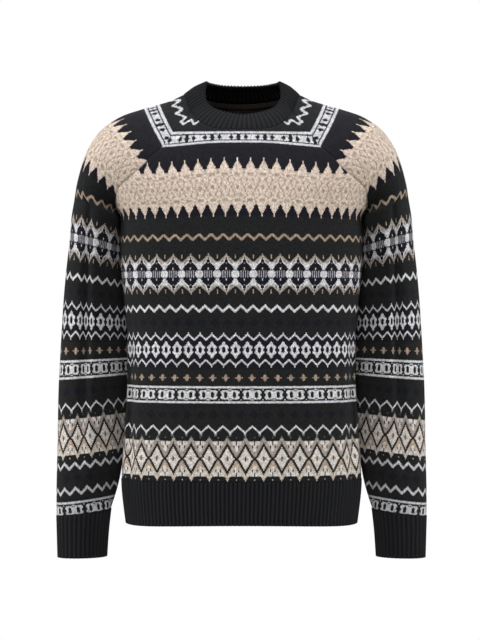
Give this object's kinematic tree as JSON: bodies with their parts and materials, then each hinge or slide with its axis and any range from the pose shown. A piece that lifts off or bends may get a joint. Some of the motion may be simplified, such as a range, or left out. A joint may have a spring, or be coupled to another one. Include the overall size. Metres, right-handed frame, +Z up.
{
  "type": "fair isle jumper",
  "caption": "Long-sleeved crew-neck jumper in patterned stranded knitting, filled out as if worn: raglan sleeves, ribbed neck, cuffs and hem, hollow and open at neck, hem and cuffs.",
  "frame": {"origin": "midway between the two highest points of the neck seam, where the wearer's shoulders carry the jumper", "axes": "+Z up, -Y the way the wearer faces, +X towards the right of the front view"},
  "size_m": [0.582, 0.2439, 0.7518],
  "materials": {
    "stranded_knit": "charcoal wool in stranded stocking stitch with bands of white, cream, taupe and navy motifs",
    "rib_knit": "charcoal wool in one-by-one rib",
    "tape": "dark brown woven cotton tape"
  },
  "bodies": {
    "root": {"front_panel": "stranded_knit", "back_panel": "stranded_knit", "right_sleeve": "stranded_knit", "left_sleeve": "stranded_knit", "neck_rib": "rib_knit", "hem_rib": "rib_knit", "right_cuff_rib": "rib_knit", "left_cuff_rib": "rib_knit", "neck_tape": "tape"}
  },
  "joints": []
}
